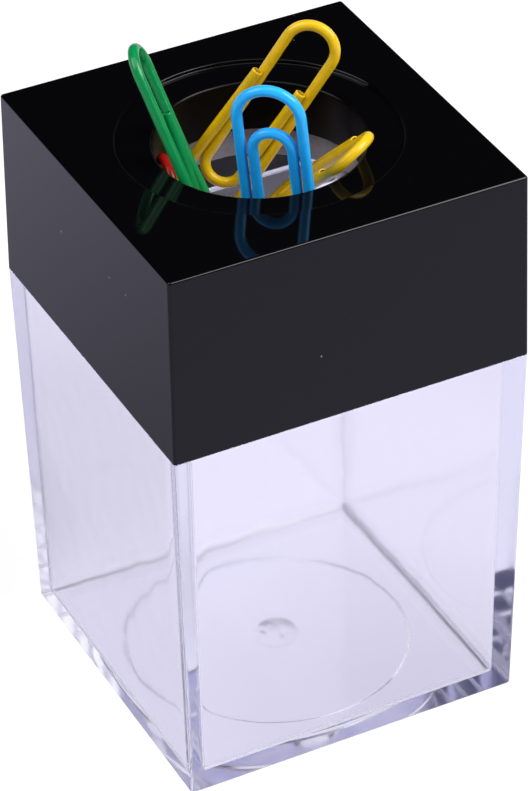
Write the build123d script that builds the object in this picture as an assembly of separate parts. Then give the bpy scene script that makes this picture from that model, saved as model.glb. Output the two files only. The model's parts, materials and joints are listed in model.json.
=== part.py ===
from build123d import *
import os
from dataclasses import dataclass
from math import cos, hypot, radians, sin

# Magnetic paper clip holder: a clear square box, a black cap with a round mouth, a ring magnet under the
# mouth, and five vinyl-coated paper clips that the magnet holds there.
# Millimetres, +Z up. The origin is the middle of the box's underside.

# Clear box
BASE_W = 40.3
BODY_H = 45.8
BOX_WALL = 1.9
FLOOR_T = 1.7
NECK_WALL = 0.95
NECK_H = 3.7
BOX_EDGE_R = 0.35
BOX_INNER_R = 0.6
FLOOR_EDGE_R = 0.5
FOOT_RECESS_R = 15.8
FOOT_RECESS_DEPTH = 0.4
GATE_R = 1.25
GATE_H = 0.25

# Cap
CAP_TOP_W = 41.5
CAP_DRAFT = 0.25
CAP_H = 22.4
CAP_PLATE_T = 2.0
CAP_WALL = 2.0
CAP_EDGE_R = 0.3
LAP_WALL = 1.2
LAP_FIT = 0.15
LAP_TOP_GAP = 0.4
RECESS_R = 15.35
RECESS_DEPTH = 0.45
RECESS_BEVEL = 0.2
MOUTH_R = 11.4
MOUTH_EDGE_R = 0.4
WELL_DEPTH = 6.3
WELL_WALL = 1.8

# Ring magnet and the collar that holds it
MAGNET_BORE_R = 12.5
MAGNET_R = 16.5
MAGNET_T = 4.2
MAGNET_EDGE = 0.3
MAGNET_FIT = 0.08
COLLAR_WALL = 1.1
HOOK_COUNT = 4
HOOK_SPAN_DEG = 34.0
HOOK_REACH = 0.7
HOOK_H = 1.0
HOOK_FIT = 0.05

# Paper clips
CLIP_L = 28.0
CLIP_W = 8.0
COATED_D = 1.2
WIRE_D = 0.9
COAT_FIT = 0.01
LEG_GAP = 0.1
NEST_STEP = 5.2
OUTER_END_BACK = 7.6
INNER_END_BACK = 7.2
CLIP_SEAT_GAP = 0.15
GREEN_RISE = 10.5
GREEN_ASIDE = -11.1
TALL_YELLOW_RISE = 8.3
TALL_YELLOW_ASIDE = -10.0
BLUE_RISE = 10.7
BLUE_ASIDE = -3.8
LOW_YELLOW_RISE = 2.7
LOW_YELLOW_ASIDE = 2.1
RED_RISE = -1.8
RED_ASIDE = 3.3
SEAT_SAMPLES = 200
SEAT_HALVINGS = 20

# Worked out from the above
SHOULDER_W = CAP_TOP_W + 2 * CAP_DRAFT
CAP_TOP = BODY_H + CAP_H
LAP_W = SHOULDER_W - 2 * LAP_WALL
NECK_W = LAP_W - 2 * LAP_FIT
NECK_BORE_W = NECK_W - 2 * NECK_WALL
NECK_TOP = BODY_H + NECK_H
MAGNET_TOP = CAP_TOP - WELL_DEPTH
MAGNET_BOTTOM = MAGNET_TOP - MAGNET_T
COLLAR_R = MAGNET_R + MAGNET_FIT
CUT_OVER = 1.0


@dataclass(frozen=True)
class Stance:
    """How a clip stands in the mouth.

    The wide end is the one with the two nested arches. Rise is the height of the upper arch above the cap.
    Lean tips the clip from upright towards a bearing, and turn rolls it about its own length. The clip
    stands aside from the mouth's middle and then goes towards the seat bearing until it meets the wall.
    """

    wide_end_up: bool
    rise: float
    lean: float
    lean_bearing: float
    turn: float
    seat_bearing: float
    aside: float


STANCES = {
    "green": Stance(False, GREEN_RISE, 30.0, 111.5, 38.5, -148.0, GREEN_ASIDE),
    "tall_yellow": Stance(False, TALL_YELLOW_RISE, 32.0, -22.5, -108.0, 115.0, TALL_YELLOW_ASIDE),
    "blue": Stance(True, BLUE_RISE, 5.0, 171.5, 58.5, -86.0, BLUE_ASIDE),
    "low_yellow": Stance(False, LOW_YELLOW_RISE, 47.5, -86.5, -153.5, -72.0, LOW_YELLOW_ASIDE),
    "red": Stance(True, RED_RISE, 0.0, 176.0, -9.0, 148.0, RED_ASIDE),
}


def square_at(width, height, corner=0.0):
    """A square face at a height, with rounded corners if asked for."""
    face = RectangleRounded(width, width, corner) if corner else Rectangle(width, width)
    return Pos(0, 0, height) * face


def drafted(width_low, z_low, width_high, z_high, corner=0.0):
    """An upright square block that changes width evenly from one height to another."""
    return loft([square_at(width_low, z_low, corner), square_at(width_high, z_high, corner)])


def disc(radius, z_low, z_high):
    """An upright round block on the axis, between two heights."""
    return Pos(0, 0, z_low) * Cylinder(radius, z_high - z_low, align=(Align.CENTER, Align.CENTER, Align.MIN))


def ring(inner, outer, z_low, z_high):
    """An upright ring on the axis, between two heights."""
    return disc(outer, z_low, z_high) - disc(inner, z_low, z_high)


def clear_box():
    """The box: drafted walls, a thinner neck that plugs into the cap, and a foot with a round hollow."""
    body = drafted(BASE_W, 0, SHOULDER_W, BODY_H, BOX_EDGE_R)
    body = fillet(body.faces().sort_by(Axis.Z)[0].edges(), BOX_EDGE_R)
    neck = drafted(NECK_W, BODY_H, NECK_W, NECK_TOP, BOX_EDGE_R)
    hollow = drafted(BASE_W - 2 * BOX_WALL, FLOOR_T, NECK_BORE_W, NECK_TOP, BOX_INNER_R)
    hollow = fillet(hollow.faces().sort_by(Axis.Z)[0].edges(), FLOOR_EDGE_R)
    foot_hollow = disc(FOOT_RECESS_R, 0, FOOT_RECESS_DEPTH)
    gate = disc(GATE_R, FOOT_RECESS_DEPTH - GATE_H, FOOT_RECESS_DEPTH)
    return body + neck - hollow - foot_hollow + gate


def mouth_cutter():
    """What the mouth takes out of the cap: a shallow round recess, a rounded rim and the bore of the well."""
    recess_floor = CAP_TOP - RECESS_DEPTH
    well_end = CAP_TOP - WELL_DEPTH
    outline = Polyline(
        (0, CAP_TOP + CUT_OVER),
        (RECESS_R + RECESS_BEVEL, CAP_TOP + CUT_OVER),
        (RECESS_R + RECESS_BEVEL, CAP_TOP),
        (RECESS_R, CAP_TOP - RECESS_BEVEL),
        (RECESS_R, recess_floor),
        (MOUTH_R + MOUTH_EDGE_R, recess_floor),
    )
    rim = RadiusArc(outline @ 1, (MOUTH_R, recess_floor - MOUTH_EDGE_R), MOUTH_EDGE_R)
    bore = Polyline(rim @ 1, (MOUTH_R, well_end - CUT_OVER), (0, well_end - CUT_OVER), outline @ 0)
    return revolve(Plane.XZ * make_face([outline, rim, bore]), Axis.Z)


def magnet_collar():
    """The cap's round collar, with hooks under the magnet on four of its stretches."""
    collar_end = MAGNET_BOTTOM - HOOK_FIT - HOOK_H
    collar = ring(COLLAR_R, COLLAR_R + COLLAR_WALL, collar_end, CAP_TOP - CAP_PLATE_T)
    hook_profile = Polyline(
        (COLLAR_R, collar_end),
        (COLLAR_R, MAGNET_BOTTOM - HOOK_FIT),
        (COLLAR_R - HOOK_REACH, MAGNET_BOTTOM - HOOK_FIT),
        close=True,
    )
    hook = revolve(Plane.XZ * make_face(hook_profile), Axis.Z, HOOK_SPAN_DEG)
    for i in range(HOOK_COUNT):
        collar += Rot(0, 0, i * 360 / HOOK_COUNT - HOOK_SPAN_DEG / 2) * hook
    return collar


def cap():
    """The cap: a drafted square shell with a lap for the box's neck, the mouth, its well and the collar."""
    shell = drafted(SHOULDER_W, BODY_H, CAP_TOP_W, CAP_TOP, CAP_EDGE_R)
    shell = fillet(shell.faces().sort_by(Axis.Z)[-1].edges(), CAP_EDGE_R)
    plate_under = CAP_TOP - CAP_PLATE_T
    shell -= drafted(SHOULDER_W - 2 * CAP_WALL, BODY_H, CAP_TOP_W - 2 * CAP_WALL, plate_under)
    shell -= drafted(LAP_W, BODY_H, LAP_W, NECK_TOP + LAP_TOP_GAP)
    shell += disc(MOUTH_R + WELL_WALL, CAP_TOP - WELL_DEPTH, plate_under)
    shell += magnet_collar()
    return shell - mouth_cutter()


def ring_magnet():
    """The ferrite ring that hangs under the well's end, inside the collar."""
    magnet = ring(MAGNET_BORE_R, MAGNET_R, MAGNET_BOTTOM, MAGNET_TOP)
    return chamfer(magnet.edges().filter_by(GeomType.CIRCLE), MAGNET_EDGE)


def clip_line():
    """A clip's centre line in its own plane: X across, Y from the narrow end's arch towards the wide end."""
    outer_x = (CLIP_W - COATED_D) / 2
    inner_x = outer_x - COATED_D - LEG_GAP
    length = CLIP_L - COATED_D
    narrow_r = (outer_x + inner_x) / 2
    wide_y = length - outer_x
    nested_y = length - NEST_STEP - inner_x
    return Wire([
        Line((-outer_x, OUTER_END_BACK), (-outer_x, wide_y)),
        ThreePointArc((-outer_x, wide_y), (0, length), (outer_x, wide_y)),
        Line((outer_x, wide_y), (outer_x, narrow_r)),
        ThreePointArc((outer_x, narrow_r), (outer_x - narrow_r, 0), (-inner_x, narrow_r)),
        Line((-inner_x, narrow_r), (-inner_x, nested_y)),
        ThreePointArc((-inner_x, nested_y), (0, nested_y + inner_x), (inner_x, nested_y)),
        Line((inner_x, nested_y), (inner_x, INNER_END_BACK)),
    ])


def clip_tube(diameter):
    """A round bar of a diameter along a clip's centre line."""
    line = clip_line()
    return sweep(Plane(line @ 0, z_dir=line % 0) * Circle(diameter / 2), line)


def pull_direction(stance):
    """The way a clip's upper end points."""
    lean, bearing = radians(stance.lean), radians(stance.lean_bearing)
    return Vector(sin(lean) * cos(bearing), sin(lean) * sin(bearing), cos(lean))


def clip_plane(stance, out):
    """The plane that a clip's centre line lies in, for a distance towards its seat."""
    up = pull_direction(stance)
    bearing, turn, seat = radians(stance.lean_bearing), radians(stance.turn), radians(stance.seat_bearing)
    level = Vector(-sin(bearing), cos(bearing), 0)
    across = level * cos(turn) + up.cross(level) * sin(turn)
    top = Vector(cos(seat), sin(seat), 0) * out + Vector(-sin(seat), cos(seat), 0) * stance.aside
    top += Vector(0, 0, CAP_TOP + stance.rise)
    if stance.wide_end_up:
        return Plane(top - up * (CLIP_L - COATED_D), x_dir=across, z_dir=across.cross(up))
    narrow_middle = (COATED_D + LEG_GAP) / 2
    return Plane(top - across * narrow_middle, x_dir=across, z_dir=across.cross(-up))


def gap_to_wall(point):
    """How far a clip's coating at a point of its centre line is from the mouth, the well and the magnet."""
    radius = hypot(point.X, point.Y)
    drop = CAP_TOP - point.Z

    def gap_to_ring(bore, upper, lower):
        inward = bore - radius
        beside = max(upper - drop, drop - lower)
        if inward > 0 or beside > 0:
            return hypot(max(inward, 0), max(beside, 0))
        return max(inward, beside)

    return min(
        gap_to_ring(MOUTH_R, RECESS_DEPTH, WELL_DEPTH),
        gap_to_ring(MAGNET_BORE_R, WELL_DEPTH, WELL_DEPTH + MAGNET_T),
        gap_to_ring(RECESS_R, 0, RECESS_DEPTH),
    ) - COATED_D / 2


def seated_plane(stance):
    """The clip's plane at the outermost place towards its seat that keeps the seat gap."""
    line = clip_line()
    local = [line @ (i / SEAT_SAMPLES) for i in range(SEAT_SAMPLES + 1)]

    def clears(out):
        plane = clip_plane(stance, out)
        return all(gap_to_wall(plane.from_local_coords(p)) >= CLIP_SEAT_GAP for p in local)

    blocked = 2 * MOUTH_R
    while not clears(blocked - COATED_D / 2):
        blocked -= COATED_D / 2
    free = blocked - COATED_D / 2
    for _ in range(SEAT_HALVINGS):
        middle = (free + blocked) / 2
        if clears(middle):
            free = middle
        else:
            blocked = middle
    return clip_plane(stance, free)


def clip_pieces(stance):
    """A clip's steel wire and its vinyl coating, where the clip stands."""
    place = seated_plane(stance)
    coating = clip_tube(COATED_D) - clip_tube(WIRE_D + 2 * COAT_FIT)
    return place * clip_tube(WIRE_D), place * coating


def main():
    """Make every piece and write each one to its own file."""
    pieces = {"clear_box": clear_box(), "cap": cap(), "ring_magnet": ring_magnet()}
    for colour, stance in STANCES.items():
        wire, coating = clip_pieces(stance)
        pieces[f"{colour}_clip_wire"] = wire
        pieces[f"{colour}_clip_coating"] = coating
        print(colour, "clip pulls along", pull_direction(stance))
    os.makedirs("parts", exist_ok=True)
    for name, piece in pieces.items():
        export_step(piece, f"parts/{name}.step")


main()
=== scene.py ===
"""The looks of a magnetic paper clip holder.

A clear square box carries a black cap. Clips stand in the cap's round mouth, held by a ring magnet under it.
Sizes here are in millimetres and the scene is in metres, with +Z up and the origin in the middle of the
box's underside.
"""

import json
import logging
import math
from collections.abc import Mapping, Sequence
from dataclasses import dataclass, field
from enum import Enum

import bmesh
import bpy
import numpy as np
from mathutils import Matrix, Quaternion, Vector, noise

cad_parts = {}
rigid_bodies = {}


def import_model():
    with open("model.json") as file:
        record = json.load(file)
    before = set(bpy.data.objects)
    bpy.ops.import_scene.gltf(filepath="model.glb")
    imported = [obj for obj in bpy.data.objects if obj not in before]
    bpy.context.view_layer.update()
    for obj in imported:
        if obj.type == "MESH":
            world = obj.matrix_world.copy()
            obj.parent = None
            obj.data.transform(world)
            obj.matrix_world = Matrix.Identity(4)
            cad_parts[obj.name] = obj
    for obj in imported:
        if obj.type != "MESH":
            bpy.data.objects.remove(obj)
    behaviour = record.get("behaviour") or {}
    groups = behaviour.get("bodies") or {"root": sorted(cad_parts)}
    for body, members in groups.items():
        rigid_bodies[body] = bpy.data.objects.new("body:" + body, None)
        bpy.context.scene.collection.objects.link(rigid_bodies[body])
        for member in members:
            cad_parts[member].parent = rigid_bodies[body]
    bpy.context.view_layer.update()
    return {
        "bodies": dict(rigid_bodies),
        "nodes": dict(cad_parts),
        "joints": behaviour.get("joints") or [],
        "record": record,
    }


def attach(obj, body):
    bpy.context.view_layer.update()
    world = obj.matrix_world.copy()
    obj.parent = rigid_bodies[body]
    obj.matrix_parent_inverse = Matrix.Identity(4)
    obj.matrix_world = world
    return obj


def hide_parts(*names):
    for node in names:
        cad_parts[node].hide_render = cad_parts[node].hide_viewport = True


LOG = logging.getLogger("clip_holder")
MM = 0.001

Point = tuple[float, float]
Span = tuple[float, float]
Angles = tuple[float, float]
Place = tuple[float, float, float]
Ring = list[Vector]
Tree = bpy.types.NodeTree
Socket = bpy.types.NodeSocket
Value = float | Sequence[float] | Socket

# A mix node's colour inputs and output, by number because its sockets share their names
FIRST, SECOND, MIXED = 6, 7, 2
COLOURS = {"data_type": "RGBA"}


class Slot(Enum):
    """The record's material slots."""

    CLEAR = "clear_polystyrene"
    BLACK = "black_polystyrene"
    FERRITE = "ferrite"
    STEEL = "steel_wire"
    GREEN = "green_vinyl"
    YELLOW = "yellow_vinyl"
    BLUE = "blue_vinyl"
    RED = "red_vinyl"


class Ends(Enum):
    """How a loft's first and last ring are closed."""

    JOINED = "joined"
    FILLED = "filled"


# Colour, nodes and directions


def linear(colour: str) -> tuple[float, float, float, float]:
    """Turns an sRGB hex colour into linear light.

    Args:
        colour: six hex digits after a hash sign.

    Returns:
        Red, green, blue and an alpha of 1.
    """
    shares = [int(colour[i:i + 2], 16) / 255 for i in (1, 3, 5)]
    light = [c / 12.92 if c <= 0.04045 else ((c + 0.055) / 1.055) ** 2.4 for c in shares]
    return light[0], light[1], light[2], 1.0


def per_metre(size_mm: float) -> float:
    """Returns the texture scale at which one unit of a pattern is this many millimetres."""
    return 1 / (size_mm * MM)


def add_node(
    tree: Tree,
    kind: str,
    settings: Mapping[str, object] | None = None,
    inputs: Mapping[str | int, Value] | None = None,
) -> bpy.types.Node:
    """Adds a node with its settings, values and links.

    Args:
        tree: the node tree that gets it.
        kind: the node's type name.
        settings: properties to set.
        inputs: values, or sockets to link from, by input name or number.

    Returns:
        The node.
    """
    node = tree.nodes.new(kind)
    for name, value in (settings or {}).items():
        setattr(node, name, value)
    for name, value in (inputs or {}).items():
        if isinstance(value, Socket):
            tree.links.new(value, node.inputs[name])
        else:
            node.inputs[name].default_value = value
    return node


def new_material(name: str) -> tuple[bpy.types.Material, Tree, Socket, Socket]:
    """Starts a material.

    Args:
        name: what the material is called.

    Returns:
        The material, its node tree, the surface input of its output node, and where on a piece a point is.
    """
    material = bpy.data.materials.new(name)
    material.use_nodes = True
    tree = material.node_tree
    tree.nodes.clear()
    output = add_node(tree, "ShaderNodeOutputMaterial")
    place = add_node(tree, "ShaderNodeTexCoord")
    return material, tree, output.inputs["Surface"], place.outputs["Object"]


def mottled(tree: Tree, place: Socket, size_mm: float, detail: float, colours: tuple[str, str]) -> Socket:
    """Mixes two colours in soft blotches.

    Args:
        tree: the material's node tree.
        place: where on the piece a point is.
        size_mm: the size of the blotches.
        detail: how many finer layers they have.
        colours: the two colours.

    Returns:
        The mixed colour.
    """
    blotches = add_node(
        tree, "ShaderNodeTexNoise", None, {"Vector": place, "Scale": per_metre(size_mm), "Detail": detail}
    )
    first, second = (linear(colour) for colour in colours)
    return add_node(
        tree, "ShaderNodeMix", COLOURS, {0: blotches.outputs["Fac"], FIRST: first, SECOND: second}
    ).outputs[MIXED]


def direction(bearing: float, elevation: float) -> Vector:
    """Turns two angles into a direction.

    Args:
        bearing: degrees from +X towards +Y.
        elevation: degrees above the level.

    Returns:
        A vector of length 1.
    """
    turn, rise = math.radians(bearing), math.radians(elevation)
    return Vector((math.cos(turn) * math.cos(rise), math.sin(turn) * math.cos(rise), math.sin(rise)))


# Finishes


@dataclass(frozen=True)
class BlackPolystyrene:
    """Black polystyrene, moulded against a polished tool face, with the well as the tool's pin was turned.

    It gives the eye a deep black that mirrors what stands on it, a few grains of dust and faint smears. The
    well is rougher, and its reflection is dimmed, which paints shade into it. Its IOR is set below the usual
    1.59, because the mirror image in the top is weaker.
    """

    name: str = "moulded_black_polystyrene"
    colour: str = "#040405"
    dust: str = "#77767F"
    ior: float = 1.34
    polish: float = 0.03
    smear: float = 0.09
    smear_mm: float = 9.0
    smear_from: Span = (0.45, 0.8)
    well_rough: float = 0.3
    well_painted_shade: float = 0.35
    well_r_mm: float = 11.45
    well_blend_mm: float = 0.3
    dust_spacing_mm: float = 3.4
    dust_grain_mm: float = 0.13

    def build(self) -> bpy.types.Material:
        """Makes the finish.

        Returns:
            The material.
        """
        material, tree, surface, place = new_material(self.name)
        rough, glint = self.polished(tree, place)
        shader = add_node(
            tree, "ShaderNodeBsdfPrincipled", None,
            {
                "Base Color": self.dusty(tree, place), "Roughness": rough, "IOR": self.ior,
                "Specular Tint": glint,
            },
        )
        tree.links.new(shader.outputs[0], surface)
        return material

    def dusty(self, tree: Tree, place: Socket) -> Socket:
        """Strews grains of dust over the black.

        Args:
            tree: the material's node tree.
            place: where on the cap a point is.

        Returns:
            The colour.
        """
        grains = add_node(
            tree, "ShaderNodeTexVoronoi", {"feature": "F1"},
            {"Vector": place, "Scale": per_metre(self.dust_spacing_mm)},
        )
        size = add_node(tree, "ShaderNodeSeparateColor", None, {"Color": grains.outputs["Color"]})
        reach = add_node(
            tree, "ShaderNodeMath", {"operation": "MULTIPLY"},
            {0: size.outputs[0], 1: self.dust_grain_mm / self.dust_spacing_mm},
        )
        speck = add_node(
            tree, "ShaderNodeMath", {"operation": "LESS_THAN"},
            {0: grains.outputs["Distance"], 1: reach.outputs[0]},
        )
        return add_node(
            tree, "ShaderNodeMix", COLOURS,
            {0: speck.outputs[0], FIRST: linear(self.colour), SECOND: linear(self.dust)},
        ).outputs[MIXED]

    def polished(self, tree: Tree, place: Socket) -> tuple[Socket, Socket]:
        """Sets the smeared polish of the outside apart from the rougher well, whose reflection is dimmed as
        painted shade.

        Args:
            tree: the material's node tree.
            place: where on the cap a point is.

        Returns:
            The roughness and the specular tint, which paints shade into the well's reflection.
        """
        smears = add_node(
            tree, "ShaderNodeTexNoise", None, {"Vector": place, "Scale": per_metre(self.smear_mm)}
        )
        gloss = add_node(
            tree, "ShaderNodeMapRange", None,
            {
                "Value": smears.outputs["Fac"],
                "From Min": self.smear_from[0], "From Max": self.smear_from[1],
                "To Min": self.polish, "To Max": self.smear,
            },
        )
        flat = add_node(tree, "ShaderNodeVectorMath", {"operation": "MULTIPLY"}, {0: place, 1: (1, 1, 0)})
        radius = add_node(tree, "ShaderNodeVectorMath", {"operation": "LENGTH"}, {0: flat.outputs[0]})
        edge = self.well_r_mm * MM
        limits = {
            "Value": radius.outputs["Value"], "From Min": edge, "From Max": edge + self.well_blend_mm * MM,
        }
        # The second range dims the well's reflection through the specular tint: painted shade in the well
        rough, glint = (
            add_node(tree, "ShaderNodeMapRange", None, {**limits, "To Min": well, "To Max": rest}).outputs[0]
            for well, rest in ((self.well_rough, gloss.outputs[0]), (self.well_painted_shade, 1.0))
        )
        return rough, glint


@dataclass(frozen=True)
class ClearPolystyrene:
    """Clear polystyrene, moulded against a polished tool face.

    It gives the eye bright bent edges, a violet cast that grows with its depth, and gentle flow waves. The
    edge of the floor, where the tool can't be polished, is matte.
    """

    name: str = "moulded_clear_polystyrene"
    colour: str = "#FCFBFF"
    depth: str = "#8C88E8"
    depth_per_m: float = 3.0
    ior: float = 1.59
    roughness: float = 0.06
    matte: float = 0.3
    matte_out_mm: Span = (17.3, 18.5)
    matte_up_mm: Span = (1.6, 2.7)
    wave_mm: float = 6.0
    wave_detail: float = 1.0
    wave_height_mm: float = 0.03

    def build(self) -> bpy.types.Material:
        """Makes the finish.

        Returns:
            The material.
        """
        material, tree, surface, place = new_material(self.name)
        waves = add_node(
            tree, "ShaderNodeTexNoise", None,
            {"Vector": place, "Scale": per_metre(self.wave_mm), "Detail": self.wave_detail},
        )
        bump = add_node(
            tree, "ShaderNodeBump", None,
            {"Height": waves.outputs["Fac"], "Distance": self.wave_height_mm * MM},
        )
        shader = add_node(
            tree, "ShaderNodeBsdfPrincipled", None,
            {
                "Base Color": linear(self.colour), "Roughness": self.polished(tree, place), "IOR": self.ior,
                "Transmission Weight": 1.0, "Normal": bump.outputs[0],
            },
        )
        tree.links.new(shader.outputs[0], surface)
        depth = add_node(
            tree, "ShaderNodeVolumeAbsorption", None,
            {"Color": linear(self.depth), "Density": self.depth_per_m},
        )
        tree.links.new(depth.outputs[0], surface.node.inputs["Volume"])
        return material

    def polished(self, tree: Tree, place: Socket) -> Socket:
        """Roughens the edge of the floor.

        Args:
            tree: the material's node tree.
            place: where on the box a point is.

        Returns:
            The roughness.
        """
        parts = add_node(tree, "ShaderNodeSeparateXYZ", None, {0: place}).outputs
        sides = [
            add_node(tree, "ShaderNodeMath", {"operation": "ABSOLUTE"}, {0: part}).outputs[0]
            for part in (parts["X"], parts["Y"])
        ]
        out = add_node(tree, "ShaderNodeMath", {"operation": "MAXIMUM"}, {0: sides[0], 1: sides[1]})
        share = self.matte
        for value, limits in ((out.outputs[0], self.matte_out_mm), (parts["Z"], self.matte_up_mm)):
            middle, half = sum(limits) / 2 * MM, (limits[1] - limits[0]) / 2 * MM
            inside = add_node(
                tree, "ShaderNodeMath", {"operation": "COMPARE"}, {0: value, 1: middle, 2: half}
            )
            share = add_node(
                tree, "ShaderNodeMath", {"operation": "MULTIPLY"}, {0: inside.outputs[0], 1: share}
            ).outputs[0]
        return add_node(
            tree, "ShaderNodeMath", {"operation": "MAXIMUM"}, {0: share, 1: self.roughness}
        ).outputs[0]


@dataclass(frozen=True)
class Ferrite:
    """Sintered ferrite with ground faces.

    It gives the eye a dull grey with grinding lines and a darker grain. Both are finer on a real magnet, and
    are drawn as coarse as they need to be to show.
    """

    name: str = "sintered_ferrite"
    colour: str = "#ACAAB8"
    grain: str = "#85838F"
    roughness: float = 0.55
    grain_mm: float = 0.5
    grain_detail: float = 4.0
    line_mm: float = 0.35
    line_wander: float = 2.0
    line_detail: float = 3.0
    line_height_mm: float = 0.01

    def build(self) -> bpy.types.Material:
        """Makes the finish.

        Returns:
            The material.
        """
        material, tree, surface, place = new_material(self.name)
        colour = mottled(tree, place, self.grain_mm, self.grain_detail, (self.colour, self.grain))
        lines = add_node(
            tree, "ShaderNodeTexWave", {"bands_direction": "Z"},
            {
                "Vector": place, "Scale": per_metre(self.line_mm), "Distortion": self.line_wander,
                "Detail": self.line_detail,
            },
        )
        bump = add_node(
            tree, "ShaderNodeBump", None,
            {"Height": lines.outputs["Fac"], "Distance": self.line_height_mm * MM},
        )
        shader = add_node(
            tree, "ShaderNodeBsdfPrincipled", None,
            {"Base Color": colour, "Roughness": self.roughness, "Normal": bump.outputs[0]},
        )
        tree.links.new(shader.outputs[0], surface)
        return material


@dataclass(frozen=True)
class DrawnSteel:
    """Bright drawn steel wire, seen only at its cut ends.

    It gives the eye a grey glint with darker flecks, drawn as coarse as they need to be to show.
    """

    name: str = "drawn_steel_wire"
    colour: str = "#C2C1C4"
    fleck: str = "#8D8C90"
    roughness: float = 0.3
    fleck_mm: float = 0.2
    fleck_detail: float = 3.0

    def build(self) -> bpy.types.Material:
        """Makes the finish.

        Returns:
            The material.
        """
        material, tree, surface, place = new_material(self.name)
        colour = mottled(tree, place, self.fleck_mm, self.fleck_detail, (self.colour, self.fleck))
        shader = add_node(
            tree, "ShaderNodeBsdfPrincipled", None,
            {"Base Color": colour, "Roughness": self.roughness, "Metallic": 1.0},
        )
        tree.links.new(shader.outputs[0], surface)
        return material


@dataclass(frozen=True)
class Vinyl:
    """Soft coloured vinyl, extruded over wire and bent with it.

    It gives the eye a strong even colour with a slight mottle, a soft sheen and a skin that isn't quite
    smooth.
    """

    name: str
    colour: str
    mottle: str
    roughness: float = 0.22
    ior: float = 1.53
    sheen: float = 0.35
    mottle_mm: float = 1.1
    mottle_detail: float = 3.0
    skin_mm: float = 0.45
    skin_detail: float = 2.0
    skin_height_mm: float = 0.006

    def build(self) -> bpy.types.Material:
        """Makes the finish.

        Returns:
            The material.
        """
        material, tree, surface, place = new_material(self.name)
        colour = mottled(tree, place, self.mottle_mm, self.mottle_detail, (self.colour, self.mottle))
        skin = add_node(
            tree, "ShaderNodeTexNoise", None,
            {"Vector": place, "Scale": per_metre(self.skin_mm), "Detail": self.skin_detail},
        )
        bump = add_node(
            tree, "ShaderNodeBump", None,
            {"Height": skin.outputs["Fac"], "Distance": self.skin_height_mm * MM},
        )
        shader = add_node(
            tree, "ShaderNodeBsdfPrincipled", None,
            {
                "Base Color": colour, "Roughness": self.roughness, "IOR": self.ior,
                "Specular IOR Level": self.sheen, "Normal": bump.outputs[0],
            },
        )
        tree.links.new(shader.outputs[0], surface)
        return material


FINISHES = {
    Slot.CLEAR: ClearPolystyrene(),
    Slot.BLACK: BlackPolystyrene(),
    Slot.FERRITE: Ferrite(),
    Slot.STEEL: DrawnSteel(),
    Slot.GREEN: Vinyl("extruded_green_vinyl", "#028A45", "#017238"),
    Slot.YELLOW: Vinyl("extruded_yellow_vinyl", "#E8C012", "#CCA30A"),
    Slot.BLUE: Vinyl("extruded_blue_vinyl", "#28ADEE", "#18A0E6"),
    Slot.RED: Vinyl("extruded_red_vinyl", "#A0160C", "#800E08"),
}


# Meshes


@dataclass(frozen=True)
class RingPlan:
    """How many points go round the holder, so that square and round rings can be joined to each other."""

    side_points: int = 40
    corner_points: int = 7
    crowd: float = 1.5
    swell_reach: float = 1.4

    def circle(self, radius: float, z: float) -> Ring:
        """Makes a round ring with its points evenly spaced.

        Args:
            radius: the ring's radius.
            z: the height.

        Returns:
            The ring.
        """
        count = 4 * (self.side_points + self.corner_points)
        first = -(self.side_points - 1) / 2
        turns = [(first + i) * math.tau / count for i in range(count)]
        return [Vector((radius * math.cos(a), radius * math.sin(a), z)) for a in turns]

    def square(self, half: float, corner: float, z: float, swell: float = 0.0) -> Ring:
        """Makes a square ring with rounded corners, and with its points closer together near them.

        Args:
            half: half the width.
            corner: the corners' radius.
            z: the height.
            swell: how far the sides come inwards beside the corners.

        Returns:
            The ring, with as many points as a round one.
        """
        straight = half - corner
        quarter = []
        for i in range(self.side_points):
            share = 2 * i / (self.side_points - 1) - 1
            along = straight * math.sin(self.crowd * share) / math.sin(self.crowd)
            near = max(0.0, 1 - (straight - abs(along)) / self.swell_reach)
            quarter.append((half - swell * near ** 2, along))
        reach = corner - swell
        for i in range(1, self.corner_points + 1):
            turn = math.pi / 2 * i / (self.corner_points + 1)
            quarter.append((straight + reach * math.cos(turn), straight + reach * math.sin(turn)))
        ring = []
        for i in range(4):
            spin = Matrix.Rotation(i * math.pi / 2, 3, "Z")
            ring += [spin @ Vector((x, y, z)) for x, y in quarter]
        return ring


def bend(centre: Point, radius: float, start: float, end: float, steps: int = 6) -> list[Point]:
    """Makes the points of an arc in a profile.

    Args:
        centre: the arc's centre, as offset and height.
        radius: its radius.
        start: the angle of its first point, in degrees.
        end: the angle of its last point, in degrees.
        steps: how many chords it has.

    Returns:
        Its points, ends included.
    """
    turns = [math.radians(start + (end - start) * i / steps) for i in range(steps + 1)]
    return [(centre[0] + radius * math.cos(a), centre[1] + radius * math.sin(a)) for a in turns]


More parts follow.
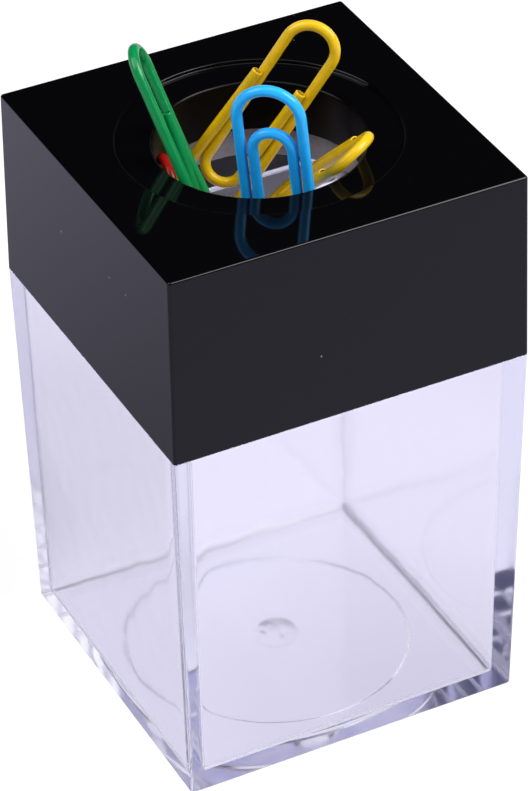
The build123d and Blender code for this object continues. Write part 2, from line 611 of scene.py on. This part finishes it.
def loft(name: str, rings: Sequence[Ring], ends: Ends, sharp_deg: float = 35.0) -> bpy.types.Object:
    """Joins rings of points into a closed skin.

    Args:
        name: the piece's name.
        rings: rings with the same number of points, in millimetres.
        ends: how the first and last ring are closed.
        sharp_deg: edges that turn more than this stay crisp.

    Returns:
        The piece, in metres.
    """
    skin = bmesh.new()
    rows = [[skin.verts.new(p * MM) for p in ring] for ring in rings]
    count = len(rows[0])
    pairs = list(zip(rows, rows[1:]))
    if ends is Ends.JOINED:
        pairs.append((rows[-1], rows[0]))
    for low, high in pairs:
        for i in range(count):
            j = (i + 1) % count
            skin.faces.new((low[i], low[j], high[j], high[i]))
    if ends is Ends.FILLED:
        for row in (rows[0], rows[-1]):
            middle = skin.verts.new(sum((v.co for v in row), Vector()) / count)
            for i in range(count):
                skin.faces.new((row[i], row[(i + 1) % count], middle))
    bmesh.ops.recalc_face_normals(skin, faces=skin.faces)
    mesh = bpy.data.meshes.new(name)
    skin.to_mesh(mesh)
    skin.free()
    mesh.polygons.foreach_set("use_smooth", [True] * len(mesh.polygons))
    mesh.set_sharp_from_angle(angle=math.radians(sharp_deg))
    piece = bpy.data.objects.new(name, mesh)
    bpy.context.scene.collection.objects.link(piece)
    weighted = piece.modifiers.new("flat_faces_stay_flat", "WEIGHTED_NORMAL")
    weighted.keep_sharp = True
    return piece


def dress(
    piece: bpy.types.Object, slot: Slot, body: str, node: str, finishes: Mapping[Slot, bpy.types.Material]
) -> None:
    """Gives a piece its finish and lets it stand for a CAD node.

    Args:
        piece: the piece.
        slot: its material slot.
        body: the body that it rides on.
        node: the node that it stands for.
        finishes: the materials by slot.
    """
    piece.data.materials.append(finishes[slot])
    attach(piece, body)
    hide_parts(node)
    LOG.info("%s: %d faces, on %s", piece.name, len(piece.data.polygons), body)


@dataclass
class Cap:
    """The black cap, from its rim over the top, down the mouth's well and back inside to the rim."""

    plan: RingPlan
    foot_z: float = 45.8
    top_z: float = 68.2
    foot_half: float = 21.0
    top_half: float = 20.75
    edge_r: float = 0.3
    rim_r: float = 0.06
    wall: float = 2.0
    plate: float = 2.0
    lap_half: float = 19.8
    lap_top_z: float = 49.9
    inner_corner: float = 0.4
    recess_r: float = 15.35
    recess_depth: float = 0.45
    recess_lip_r: float = 0.16
    recess_root_r: float = 0.12
    mouth_r: float = 11.4
    mouth_edge_r: float = 0.4
    mouth_steps: int = 10
    well_depth: float = 6.3
    well_wall: float = 1.8
    well_draft: float = 0.18
    well_edge_r: float = 0.1
    collar_r: float = 16.58
    collar_wall: float = 1.1
    collar_foot_z: float = 56.65
    hook_h: float = 1.0
    hook_reach: float = 0.7
    hook_count: int = 4
    hook_span: float = 34.0

    def outer_half(self, z: float) -> float:
        """Returns half the outer width at a height."""
        share = (z - self.foot_z) / (self.top_z - self.foot_z)
        return self.foot_half + (self.top_half - self.foot_half) * share

    def shell(self) -> list[Ring]:
        """Makes the outside.

        Returns:
            Its rings, from the rim to the edge of the top.
        """
        rim = bend((self.foot_half - self.rim_r, self.foot_z + self.rim_r), self.rim_r, -90, 0)
        shoulder_z = self.top_z - self.edge_r
        round_half = self.outer_half(shoulder_z) - self.edge_r
        edge = bend((round_half, shoulder_z), self.edge_r, 0, 90)
        rings = [self.plan.square(half, self.edge_r, z) for half, z in rim]
        return rings + [self.plan.square(half, half - round_half + self.rim_r, z) for half, z in edge]

    def mouth(self) -> list[Ring]:
        """Makes the recess, the mouth's rounded edge and the well.

        Returns:
            Their rings, from the top down.
        """
        floor_z = self.top_z - self.recess_depth
        well_z = self.top_z - self.well_depth
        lip = (self.recess_r + self.recess_lip_r, self.top_z - self.recess_lip_r)
        root = (self.recess_r - self.recess_root_r, floor_z + self.recess_root_r)
        mouth = (self.mouth_r + self.mouth_edge_r, floor_z - self.mouth_edge_r)
        well = (self.mouth_r - self.well_draft + self.well_edge_r, well_z + self.well_edge_r)
        profile = bend(lip, self.recess_lip_r, 90, 180)
        profile += bend(root, self.recess_root_r, 0, -90)
        profile += bend(mouth, self.mouth_edge_r, 90, 180, self.mouth_steps)
        profile += bend(well, self.well_edge_r, 180, 270)
        return [self.plan.circle(r, z) for r, z in profile]

    def hooked(self, z: float) -> Ring:
        """Makes the collar's inner ring at the hooks' upper face.

        Args:
            z: the height.

        Returns:
            The ring, pushed in at each hook.
        """
        pitch = 360 / self.hook_count
        ring = []
        for p in self.plan.circle(self.collar_r, z):
            off = (math.degrees(math.atan2(p.y, p.x)) + pitch / 2) % pitch - pitch / 2
            reach = self.hook_reach if abs(off) < self.hook_span / 2 else 0.0
            ring.append(Vector((p.x, p.y, 0)) * (1 - reach / self.collar_r) + Vector((0, 0, z)))
        return ring

    def inside(self) -> list[Ring]:
        """Makes the well's outside, the magnet's collar and the skirt's inside.

        Returns:
            Their rings, from the well's foot to the rim.
        """
        under = self.top_z - self.plate
        hook_z = self.collar_foot_z + self.hook_h
        well_r = self.mouth_r + self.well_wall
        outer_collar = self.collar_r + self.collar_wall
        above_hooks = [
            (well_r, self.top_z - self.well_depth), (well_r, under), (self.collar_r, under),
            (self.collar_r, hook_z),
        ]
        below_hooks = [
            (self.collar_r, self.collar_foot_z), (outer_collar, self.collar_foot_z), (outer_collar, under),
        ]
        skirt = [
            (self.outer_half(under) - self.wall, under),
            (self.outer_half(self.lap_top_z) - self.wall, self.lap_top_z),
            (self.lap_half, self.lap_top_z), (self.lap_half, self.foot_z),
        ]
        rings = [self.plan.circle(r, z) for r, z in above_hooks] + [self.hooked(hook_z)]
        rings += [self.plan.circle(r, z) for r, z in below_hooks]
        return rings + [self.plan.square(half, self.inner_corner, z) for half, z in skirt]

    def build(self) -> bpy.types.Object:
        """Returns the cap as one closed skin."""
        return loft("black_cap", self.shell() + self.mouth() + self.inside(), Ends.JOINED)


@dataclass
class ClearBox:
    """The clear box, from the middle of its foot over the walls and down to the middle of its floor."""

    plan: RingPlan
    foot_half: float = 20.15
    shoulder_half: float = 21.0
    shoulder_z: float = 45.8
    neck_half: float = 19.65
    neck_top_z: float = 49.5
    edge_r: float = 0.35
    shoulder_r: float = 0.08
    rim_r: float = 0.2
    inner_foot_half: float = 18.25
    inner_neck_half: float = 18.7
    inner_corner: float = 0.3
    least_corner: float = 0.1
    inner_swell: float = 0.06
    floor_z: float = 1.7
    floor_edge_r: float = 0.8
    hollow_r: float = 15.3
    hollow_depth: float = 0.4
    hollow_edge_r: float = 0.2
    gate_r: float = 2.75
    gate_depth: float = 0.8
    gate_rim: float = 0.15
    gate_steps: int = 14
    gate_uneven: float = 0.4

    def foot(self) -> list[Ring]:
        """Makes the foot's round hollow.

        Returns:
            Its rings, from the hollow's roof to the foot.
        """
        edge = self.hollow_edge_r
        profile = bend((self.hollow_r - edge, self.hollow_depth - edge), edge, 90, 0)
        profile += bend((self.hollow_r + edge, edge), edge, 180, 270)
        return [self.plan.circle(r, z) for r, z in profile]

    def outside(self) -> list[Ring]:
        """Makes the outer walls, the shoulder and the neck.

        Returns:
            Their rings, from the foot to the neck's rim.
        """
        inset = self.foot_half - self.edge_r
        edge = bend((inset, self.edge_r), self.edge_r, -90, 0)
        shoulder_at = (self.shoulder_half - self.shoulder_r, self.shoulder_z - self.shoulder_r)
        shoulder = bend(shoulder_at, self.shoulder_r, 0, 90)
        rim = bend((self.neck_half - self.rim_r, self.neck_top_z - self.rim_r), self.rim_r, 0, 90)
        rings = [self.plan.square(half, half - inset + self.shoulder_r, z) for half, z in edge]
        rings += [self.plan.square(half, self.edge_r, z) for half, z in shoulder]
        rings.append(self.plan.square(self.neck_half, self.edge_r, self.shoulder_z))
        return rings + [self.plan.square(half, self.edge_r, z) for half, z in rim]

    def inside(self) -> list[Ring]:
        """Makes the inner walls and the floor.

        Returns:
            Their rings, from the neck's rim to a ring on the floor.
        """
        rim_at = (self.inner_neck_half + self.rim_r, self.neck_top_z - self.rim_r)
        rim = bend(rim_at, self.rim_r, 90, 180)
        floor_at = (self.inner_foot_half - self.floor_edge_r, self.floor_z + self.floor_edge_r)
        floor = bend(floor_at, self.floor_edge_r, 0, -90)
        inset = self.inner_foot_half - self.inner_corner
        rings = [self.plan.square(half, self.inner_corner, z, self.inner_swell) for half, z in rim]
        for half, z in floor:
            share = 1 - (self.inner_foot_half - half) / self.floor_edge_r
            corner = max(half - inset, self.least_corner)
            rings.append(self.plan.square(half, corner, z, self.inner_swell * share))
        return rings + [self.plan.circle(self.hollow_r, self.floor_z)]

    def gate(self) -> list[Ring]:
        """Makes the gate mark, a shallow uneven bowl in the middle of the floor.

        Returns:
            Its rings, from its rim inwards.
        """
        ball = (self.gate_r ** 2 + self.gate_depth ** 2) / (2 * self.gate_depth)
        rings = [self.plan.circle(self.gate_r + self.gate_rim, self.floor_z)]
        for i in range(self.gate_steps, 0, -1):
            radius = self.gate_r * i / self.gate_steps
            depth = math.sqrt(ball ** 2 - radius ** 2) - ball + self.gate_depth
            ring = self.plan.circle(radius, self.floor_z)
            for p in ring:
                p.z -= depth * (1 - self.gate_uneven * max(0.0, noise.noise(p)))
            rings.append(ring)
        return rings

    def build(self) -> bpy.types.Object:
        """Returns the box as one closed skin."""
        rings = self.foot() + self.outside() + self.inside() + self.gate()
        return loft("clear_box_shell", rings, Ends.FILLED)


@dataclass
class RingMagnet:
    """The ferrite ring under the well, with the small chips that sintered edges have."""

    plan: RingPlan
    bore_r: float = 12.5
    outer_r: float = 16.5
    low_z: float = 57.7
    high_z: float = 61.9
    edge: float = 0.3
    chip: float = 0.35
    chip_mm: float = 1.4
    chip_from: float = 0.25

    def chipped(self, radius: float, z: float, towards: Vector) -> Ring:
        """Makes a ring along an edge, pushed in where the edge is chipped.

        Args:
            radius: the edge's radius.
            z: its height.
            towards: the way a chip goes, outwards and upwards.

        Returns:
            The ring.
        """
        ring = []
        for p in self.plan.circle(radius, z):
            depth = max(0.0, noise.noise(p / self.chip_mm) - self.chip_from) * self.chip
            outward = Vector((p.x, p.y, 0)).normalized()
            ring.append(p + (outward * towards.x + Vector((0, 0, towards.y))) * depth)
        return ring

    def build(self) -> bpy.types.Object:
        """Makes the ring.

        Returns:
            The ring as one closed skin.
        """
        inner, outer = self.bore_r, self.outer_r
        low, high, edge = self.low_z, self.high_z, self.edge
        up, down = Vector((1, 1)), Vector((1, -1))
        rings = [
            self.chipped(inner, low + edge, up), self.chipped(inner + edge, low, up),
            self.plan.circle(outer - edge, low), self.plan.circle(outer, low + edge),
            self.plan.circle(outer, high - edge), self.plan.circle(outer - edge, high),
            self.chipped(inner + edge, high, down), self.chipped(inner, high - edge, down),
        ]
        return loft("ferrite_ring", rings, Ends.JOINED)


@dataclass(frozen=True)
class Pose:
    """Where a clip's own plane lies: its start, the way across it and the way along it."""

    start: Vector
    across: Vector
    along: Vector

    def point(self, x: float, y: float, lift: float = 0.0) -> Vector:
        """Returns a point of the clip's plane, lifted off it if asked for."""
        return self.start + self.across * x + self.along * y + self.across.cross(self.along) * lift


@dataclass
class PaperClip:
    """A paper clip of round steel wire inside a vinyl tube."""

    name: str
    slot: Slot
    length: float = 28.0
    width: float = 8.0
    coated: float = 1.2
    wire: float = 0.9
    fit: float = 0.01
    leg_gap: float = 0.1
    nest_step: float = 5.2
    outer_end: float = 7.6
    inner_end: float = 7.2
    wide_steps: int = 28
    narrow_steps: int = 26
    nested_steps: int = 22
    cut_steps: int = 3
    sides: int = 20
    step: float = 0.4
    wire_back: float = 0.3
    cut_round: float = 0.12
    sharp_deg: float = 50.0
    uneven: float = 0.03
    uneven_mm: float = 2.4
    uneven_from: float = 0.3
    uneven_round: float = 9.0
    twist_deg: float = 0.0
    outer_spring: Point = (0.0, 0.0)
    inner_spring: Point = (0.0, 0.0)
    line: list[Point] = field(init=False)
    path: list[Vector] = field(init=False)

    def __post_init__(self) -> None:
        """Lays out the centre line, from the outer cut end to the inner one."""
        outer = (self.width - self.coated) / 2
        inner = outer - self.coated - self.leg_gap
        run = self.length - self.coated
        narrow = (outer + inner) / 2
        wide_y, nested_y = run - outer, run - self.nest_step - inner
        line = [(-outer, self.outer_end)]
        line += bend((0, wide_y), outer, 180, 0, self.wide_steps)
        line += bend((outer - narrow, narrow), narrow, 0, -180, self.narrow_steps)
        line += bend((0, nested_y), inner, 180, 0, self.nested_steps)
        line.append((inner, self.inner_end))
        self.line = self.spaced(line)
        self.path = [Vector((x, y, 0)) for x, y in self.line]
        self.bend_leg(self.path, self.outer_spring, wide_y)
        self.bend_leg(self.path[::-1], self.inner_spring, nested_y)

    def bend_leg(self, path: Sequence[Vector], spring: Point, root: float) -> None:
        """Bends a free leg out of its place, as use leaves it.

        Args:
            path: the centre line, from the leg's cut end.
            spring: how far the cut end goes across the clip and out of its plane.
            root: how far along the clip the leg leaves its arch.
        """
        end = path[0].y
        for p in path:
            if p.y >= root:
                break
            share = (root - p.y) / (root - end)
            p.x += spring[0] * share
            p.z += spring[1] * share

    def spaced(self, line: Sequence[Point]) -> list[Point]:
        """Adds points wherever two of them lie more than a step apart.

        Args:
            line: the points of a line.

        Returns:
            The line with the points added.
        """
        out = [line[0]]
        for (x0, y0), (x1, y1) in zip(line, line[1:]):
            parts = max(1, math.ceil(math.hypot(x1 - x0, y1 - y0) / self.step))
            out += [(x0 + (x1 - x0) * i / parts, y0 + (y1 - y0) * i / parts) for i in range(1, parts + 1)]
        return out

    def pose(self, wire: bpy.types.Object, axis: Sequence[float]) -> Pose:
        """Finds how the clip lies from its CAD wire.

        The clip slides along its own length, and the wire is flat, so two of its axes are known but for
        their signs. A clip is no mirror image of itself, so only one choice of signs lays the line in the
        wire.

        Args:
            wire: the wire's CAD object.
            axis: the way that the clip slides.

        Returns:
            The pose, in millimetres.
        """
        places = np.array([v.co for v in wire.data.vertices]) / MM
        middle = places.mean(0)
        length = np.array(axis) / np.linalg.norm(axis)
        width = np.cross(np.linalg.svd(places - middle, full_matrices=False)[2][2], length)
        line = np.array(self.line)
        best, least = None, math.inf
        for along in (length, -length):
            for across in (width, -width):
                local = np.stack([(places - middle) @ across, (places - middle) @ along], 1)
                shift = (local.max(0) + local.min(0)) / 2 - (line.max(0) + line.min(0)) / 2
                gaps = np.linalg.norm(local[:, None] - shift - line[None], axis=2).min(1)
                if gaps.max() < least:
                    least = gaps.max()
                    start = middle + across * shift[0] + along * shift[1]
                    best = Pose(Vector(start), Vector(across), Vector(along))
        LOG.info("%s clip's line lies within %.2f mm of its wire's skin", self.name, least)
        return self.twisted(best, Vector(length))

    def twisted(self, pose: Pose, axis: Vector) -> Pose:
        """Turns a pose about the clip's length, through the top of its narrow bend.

        Args:
            pose: the pose.
            axis: the clip's length.

        Returns:
            The turned pose.
        """
        across = Quaternion(axis, math.radians(self.twist_deg)) @ pose.across
        middle = (self.coated + self.leg_gap) / 2
        return Pose(pose.start + (pose.across - across) * middle, across, pose.along)

    def ring(self, pose: Pose, at: int, radius: float, slide: float = 0.0, uneven: float = 0.0) -> Ring:
        """Makes a ring round the centre line.

        Args:
            pose: where the clip lies.
            at: which point of the path.
            radius: the ring's radius.
            slide: how far the ring is moved along the path.
            uneven: how much the radius varies.

        Returns:
            The ring.
        """
        run = (self.path[min(at + 1, len(self.path) - 1)] - self.path[max(at - 1, 0)]).normalized()
        x, y, rise = self.path[at] + run * slide
        out = []
        for i in range(self.sides):
            turn = math.tau * i / self.sides
            side, lift = math.cos(turn), math.sin(turn)
            skin = Vector((x, y + self.uneven_round * side, self.uneven_round * lift))
            rough = noise.noise(skin / self.uneven_mm)
            reach = radius * (1 + uneven * min(0.0, rough - self.uneven_from))
            out.append(pose.point(x + run.y * side * reach, y - run.x * side * reach, rise + lift * reach))
        return out

    def coating(self, pose: Pose) -> bpy.types.Object:
        """Makes the vinyl tube, with cut ends that are a little rounded, open down to the wire.

        Args:
            pose: where the clip lies.

        Returns:
            The piece.
        """
        last = len(self.path) - 1
        outer, bore = self.coated / 2, self.wire / 2 + self.fit
        cut = bend((0.0, outer - self.cut_round), self.cut_round, 0, 90, self.cut_steps)
        rings = [self.ring(pose, 0, r, self.cut_round - x) for x, r in cut]
        rings += [self.ring(pose, i, outer, 0.0, self.uneven) for i in range(1, last)]
        rings += [self.ring(pose, last, r, x - self.cut_round) for x, r in reversed(cut)]
        rings += [self.ring(pose, i, bore) for i in range(last, -1, -1)]
        return loft(f"{self.name}_clip_vinyl", rings, Ends.JOINED, self.sharp_deg)

    def core(self, pose: Pose) -> bpy.types.Object:
        """Makes the steel wire, cut a little short of the vinyl.

        Args:
            pose: where the clip lies.

        Returns:
            The piece.
        """
        last = len(self.path) - 1
        radius = self.wire / 2
        cut = [(self.wire_back, radius - self.cut_round), (self.wire_back + self.cut_round, radius)]
        # The cut's two rings take the place of the path's first two points at each end
        rings = [self.ring(pose, 0, r, x) for x, r in cut]
        rings += [self.ring(pose, i, radius) for i in range(len(cut), last + 1 - len(cut))]
        rings += [self.ring(pose, last, r, -x) for x, r in reversed(cut)]
        return loft(f"{self.name}_clip_core", rings, Ends.FILLED, self.sharp_deg)

    def build(self, frame: Mapping[str, object], finishes: Mapping[Slot, bpy.types.Material]) -> None:
        """Makes the clip's two pieces and dresses them.

        Args:
            frame: the loaded frame.
            finishes: the materials by slot.
        """
        body = f"{self.name}_clip"
        axis = next(joint["axis"] for joint in frame["joints"] if joint["child"] == body)
        pose = self.pose(frame["nodes"][f"{body}_wire"], axis)
        dress(self.coating(pose), self.slot, body, f"{body}_coating", finishes)
        dress(self.core(pose), Slot.STEEL, body, f"{body}_wire", finishes)


# Studio


@dataclass(frozen=True)
class Softbox:
    """A large square lamp that faces the holder's cap."""

    name: str
    bearing: float
    elevation: float
    radiance: float
    distance_mm: float = 700.0
    size_mm: float = 480.0
    colour: str = "#FFFFFF"

    def build(self, aim: Vector) -> None:
        """Hangs the lamp.

        Args:
            aim: the point that it faces, in millimetres.
        """
        away = direction(self.bearing, self.elevation)
        lamp = bpy.data.lights.new(self.name, "AREA")
        lamp.size = self.size_mm * MM
        lamp.energy = self.radiance * math.pi * lamp.size ** 2
        lamp.color = linear(self.colour)[:3]
        stand = bpy.data.objects.new(self.name, lamp)
        stand.location = (aim + away * self.distance_mm) * MM
        stand.rotation_mode = "QUATERNION"
        stand.rotation_quaternion = (-away).to_track_quat("-Z", "Y")
        stand.visible_camera = stand.visible_transmission = False
        bpy.context.scene.collection.objects.link(stand)


@dataclass(frozen=True)
class PaintedPaperShade:
    """A round patch of the paper with painted shadow or painted light, which fades with distance."""

    at_mm: Place
    reach_mm: Span
    strength: Span

    def build(self, tree: Tree, place: Socket) -> Socket:
        """Makes the patch.

        Args:
            tree: the paper's node tree.
            place: where on the paper a point is.

        Returns:
            The paper's strength.
        """
        away = add_node(
            tree, "ShaderNodeVectorMath", {"operation": "DISTANCE"}, {0: place, 1: Vector(self.at_mm) * MM}
        )
        return add_node(
            tree, "ShaderNodeMapRange", None,
            {
                "Value": away.outputs["Value"],
                "From Min": self.reach_mm[0] * MM, "From Max": self.reach_mm[1] * MM,
                "To Min": self.strength[0], "To Max": self.strength[1],
            },
        ).outputs[0]


@dataclass(frozen=True)
class Studio:
    """A pale paper floor, a dark room above a paler horizon, and softboxes to both sides and overhead."""

    aim: Place = (0, 0, 60)
    floor_half_mm: float = 3000.0
    air_gap_mm: float = 0.02
    paper: str = "#F2F0EA"
    paper_seen: str = "#FFFFFF"
    shadow_share: float = 0.5
    paper_through: str = "#F2F0FF"
    # Painted shadows on the paper seen through the box, and a painted pool of light under the mouth
    painted_through_shades: tuple[PaintedPaperShade, ...] = (
        PaintedPaperShade(at_mm=(0, 8, 0), reach_mm=(2, 11), strength=(1.02, 1.0)),
        PaintedPaperShade(at_mm=(10, -20, 0), reach_mm=(8, 34), strength=(0.84, 1.0)),
        PaintedPaperShade(at_mm=(-34, 44, 0), reach_mm=(14, 30), strength=(0.6, 1.0)),
    )
    paper_mirrored: str = "#E8E3FF"
    # A painted shadow of the holder on the paper, as it shows in gloss
    painted_mirrored_shades: tuple[PaintedPaperShade, ...] = (
        PaintedPaperShade(at_mm=(-40, 40, 0), reach_mm=(10, 130), strength=(0.39, 1.0)),
    )
    backdrop: str = "#FFFFFF"
    room: str = "#141419"
    horizon: str = "#8D8B9A"
    horizon_top: float = 0.22
    tent: tuple[str, str, str] = ("#1E2350", "#A4A3CE", "#FFFFFF")
    tent_way: Angles = (-26, 0)
    tent_reach: float = 0.62
    glow: float = 1.75
    glow_way: Angles = (-50, 49)
    glow_reach: Span = (0.9, 0.975)
    ambient: str = "#9694B0"
    bounces: int = 48
    softboxes: tuple[Softbox, ...] = (
        Softbox("left_softbox", bearing=168, elevation=44, radiance=4.0),
        Softbox("right_softbox", bearing=-40, elevation=44, radiance=8.4),
        Softbox("overhead_softbox", bearing=-116, elevation=84, radiance=2.0, distance_mm=800, size_mm=500),
    )

    def floor_material(self) -> bpy.types.Material:
        """Makes the paper: white with a faint shadow to the camera; painted shadows and light through the
        box and in gloss.

        Returns:
            The material.
        """
        material, tree, surface, place = new_material("pale_paper_floor")
        path = add_node(tree, "ShaderNodeLightPath").outputs
        lit = add_node(tree, "ShaderNodeBsdfDiffuse", None, {"Color": linear(self.paper)}).outputs[0]
        white = add_node(tree, "ShaderNodeEmission", None, {"Color": linear(self.paper_seen)}).outputs[0]
        tones = {
            "Is Glossy Ray": (self.paper_mirrored, self.painted_mirrored_shades),
            "Is Transmission Ray": (self.paper_through, self.painted_through_shades),
        }
        mix = lit
        for flag, (colour, shades) in tones.items():
            strength = 1.0
            # Each patch multiplies the paper's strength with painted shadow or painted light
            for shade in shades:
                strength = add_node(
                    tree, "ShaderNodeMath", {"operation": "MULTIPLY"},
                    {0: strength, 1: shade.build(tree, place)},
                ).outputs[0]
            tone = add_node(
                tree, "ShaderNodeEmission", None, {"Color": linear(colour), "Strength": strength}
            )
            mix = add_node(
                tree, "ShaderNodeMixShader", None, {0: path[flag], 1: mix, 2: tone.outputs[0]}
            ).outputs[0]
        seen = add_node(tree, "ShaderNodeMixShader", None, {0: self.shadow_share, 1: white, 2: lit})
        paper = add_node(
            tree, "ShaderNodeMixShader", None, {0: path["Is Camera Ray"], 1: mix, 2: seen.outputs[0]}
        )
        tree.links.new(paper.outputs[0], surface)
        return material

    def floor(self) -> None:
        """Lays the paper."""
        half = self.floor_half_mm * MM
        mesh = bpy.data.meshes.new("paper_floor")
        corners = [(-half, -half), (half, -half), (half, half), (-half, half)]
        mesh.from_pydata([(x, y, -self.air_gap_mm * MM) for x, y in corners], [], [(0, 1, 2, 3)])
        mesh.materials.append(self.floor_material())
        paper = bpy.data.objects.new("paper_floor", mesh)
        bpy.context.scene.collection.objects.link(paper)

    def tent_light(self, tree: Tree, way: Socket) -> Socket:
        """Makes what shows through the box: a tent, dark on one side and white on the other, with a lamp.

        Args:
            tree: the world's node tree.
            way: the direction looked in.

        Returns:
            The colour.
        """
        dark, dim, white = (linear(colour) for colour in self.tent)
        glow = (self.glow, self.glow, self.glow, 1.0)
        steps = (
            (self.tent_way, (-self.tent_reach, 0.0), dim), (self.tent_way, (0.0, self.tent_reach), white),
            (self.glow_way, self.glow_reach, glow),
        )
        shown = dark
        for angles, limits, colour in steps:
            near = add_node(
                tree, "ShaderNodeVectorMath", {"operation": "DOT_PRODUCT"}, {0: way, 1: direction(*angles)}
            )
            share = add_node(
                tree, "ShaderNodeMapRange", None,
                {"Value": near.outputs["Value"], "From Min": limits[0], "From Max": limits[1]},
            )
            shown = add_node(
                tree, "ShaderNodeMix", COLOURS, {0: share.outputs[0], FIRST: shown, SECOND: colour}
            ).outputs[MIXED]
        return shown

    def room_light(self, tree: Tree, way: Socket) -> Socket:
        """Makes what shows in gloss: a dark room above a paler horizon.

        Args:
            tree: the world's node tree.
            way: the direction looked in.

        Returns:
            The colour.
        """
        height = add_node(tree, "ShaderNodeSeparateXYZ", None, {0: way}).outputs["Z"]
        share = add_node(tree, "ShaderNodeMapRange", None, {"Value": height, "From Max": self.horizon_top})
        return add_node(
            tree, "ShaderNodeMix", COLOURS,
            {0: share.outputs[0], FIRST: linear(self.horizon), SECOND: linear(self.room)},
        ).outputs[MIXED]

    def sky(self) -> None:
        """Fills the world: white to the camera, a tent through the box, a room in gloss, else grey."""
        world = bpy.data.worlds.new("studio")
        bpy.context.scene.world = world
        world.use_nodes = True
        tree = world.node_tree
        tree.nodes.clear()
        way = add_node(tree, "ShaderNodeTexCoord").outputs["Generated"]
        path = add_node(tree, "ShaderNodeLightPath")
        kinds = {
            "Is Glossy Ray": self.room_light(tree, way),
            "Is Transmission Ray": self.tent_light(tree, way),
            "Is Camera Ray": linear(self.backdrop),
        }
        shown = linear(self.ambient)
        for flag, colour in kinds.items():
            shown = add_node(
                tree, "ShaderNodeMix", COLOURS, {0: path.outputs[flag], FIRST: shown, SECOND: colour}
            ).outputs[MIXED]
        background = add_node(tree, "ShaderNodeBackground", None, {"Color": shown})
        output = add_node(tree, "ShaderNodeOutputWorld")
        tree.links.new(background.outputs[0], output.inputs["Surface"])

    def build(self) -> None:
        """Sets up the floor, the world and the lamps, with bounces enough for light inside clear walls."""
        self.floor()
        self.sky()
        cycles = bpy.context.scene.cycles
        cycles.max_bounces = cycles.glossy_bounces = cycles.transmission_bounces = self.bounces
        for softbox in self.softboxes:
            softbox.build(Vector(self.aim))


@dataclass(frozen=True)
class PhotoCamera:
    """The photograph's camera, fitted to the edges of the cap and the box and to the cap's circles."""

    place: Place = (-158.78, -322.73, 292.61)
    azimuth: float = -26.185
    elevation: float = 35.682
    roll: float = -1.395
    focal_px: float = 4015.9
    long_side_px: float = 791.0
    sensor_mm: float = 36.0
    nearest_mm: float = 10.0

    def build(self) -> None:
        """Makes the camera and gives it to the scene."""
        ahead = direction(self.azimuth + 90, -self.elevation)
        lens = bpy.data.cameras.new("photo_camera")
        lens.sensor_width = self.sensor_mm
        lens.lens = self.focal_px / self.long_side_px * self.sensor_mm
        lens.clip_start = self.nearest_mm * MM
        camera = bpy.data.objects.new("photo_camera", lens)
        camera.location = Vector(self.place) * MM
        camera.rotation_mode = "QUATERNION"
        level = ahead.to_track_quat("-Z", "Y")
        camera.rotation_quaternion = level @ Quaternion((0, 0, 1), math.radians(self.roll))
        bpy.context.scene.collection.objects.link(camera)
        bpy.context.scene.camera = camera


def main() -> None:
    """Loads the frame and builds the holder, its clips, the studio and the camera."""
    logging.basicConfig(level=logging.INFO, format="%(name)s: %(message)s")
    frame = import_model()
    finishes = {slot: finish.build() for slot, finish in FINISHES.items()}
    plan = RingPlan()
    clear_box = ClearBox(plan).build()
    # Clear walls let the lamps' light through, so they throw no shadow
    clear_box.visible_shadow = False
    dress(clear_box, Slot.CLEAR, "box", "clear_box", finishes)
    dress(Cap(plan).build(), Slot.BLACK, "cap", "cap", finishes)
    dress(RingMagnet(plan).build(), Slot.FERRITE, "cap", "ring_magnet", finishes)
    clips = (
        PaperClip("green", Slot.GREEN, outer_spring=(0.0, -0.5), inner_spring=(0.0, 0.8)),
        PaperClip("tall_yellow", Slot.YELLOW, outer_spring=(0.7, -1.05), inner_spring=(0.35, -0.75)),
        PaperClip("blue", Slot.BLUE),
        PaperClip("low_yellow", Slot.YELLOW, twist_deg=-2.6),
        PaperClip("red", Slot.RED),
    )
    for clip in clips:
        clip.build(frame, finishes)
    Studio().build()
    PhotoCamera().build()
    bpy.context.scene.view_settings.view_transform = "Standard"


if __name__ == "__main__":
    main()
